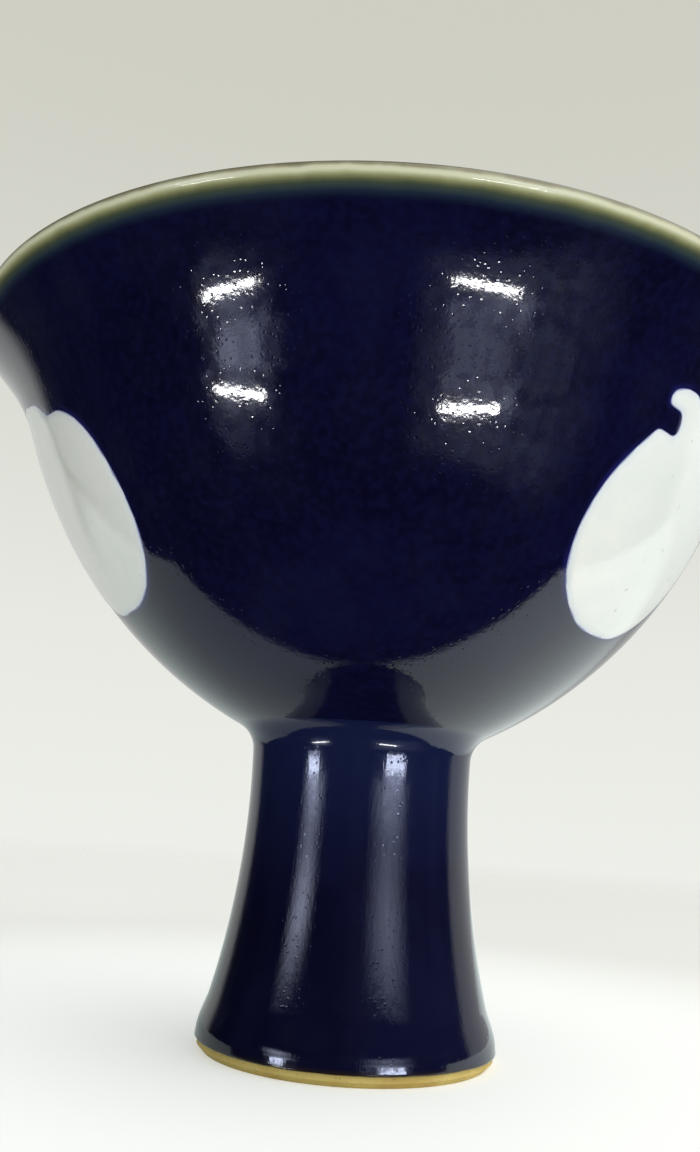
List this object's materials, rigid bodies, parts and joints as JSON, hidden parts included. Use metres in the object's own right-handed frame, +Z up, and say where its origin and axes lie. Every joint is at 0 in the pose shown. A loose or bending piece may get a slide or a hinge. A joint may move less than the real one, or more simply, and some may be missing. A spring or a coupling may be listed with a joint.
{
  "type": "stem cup",
  "caption": "Glazed porcelain stem cup: a wide bowl with an everted lip on a hollow flared stem, dark blue outside with white fruit panels, clear-glazed inside.",
  "frame": {"origin": "centre of the foot ring, on the plane the cup stands on", "axes": "+Z up along the cup's turning axis, -Y towards the side shown in the picture"},
  "size_m": [0.1346, 0.1346, 0.1078],
  "materials": {
    "porcelain": "fired, unglazed, hidden under the glaze",
    "bare_clay": "fired, bare and toasted at the foot",
    "slip": "fired slip, hidden under the glaze",
    "bowl_blue": "gloss cobalt blue glaze",
    "stem_blue": "gloss cobalt blue glaze",
    "clear_glaze": "gloss clear glaze with a faint green-blue tint",
    "stem_lining": "gloss clear glaze, thin",
    "white_glaze": "gloss bluish white glaze"
  },
  "bodies": {
    "root": {"bowl_body": "porcelain", "stem_body": "bare_clay", "luting_slip": "slip", "bowl_blue_glaze": "bowl_blue", "stem_blue_glaze": "stem_blue", "bowl_clear_glaze": "clear_glaze", "stem_clear_glaze": "stem_lining", "pomegranate_panel": "white_glaze", "peach_panel": "white_glaze", "persimmon_panel": "white_glaze"}
  },
  "joints": []
}
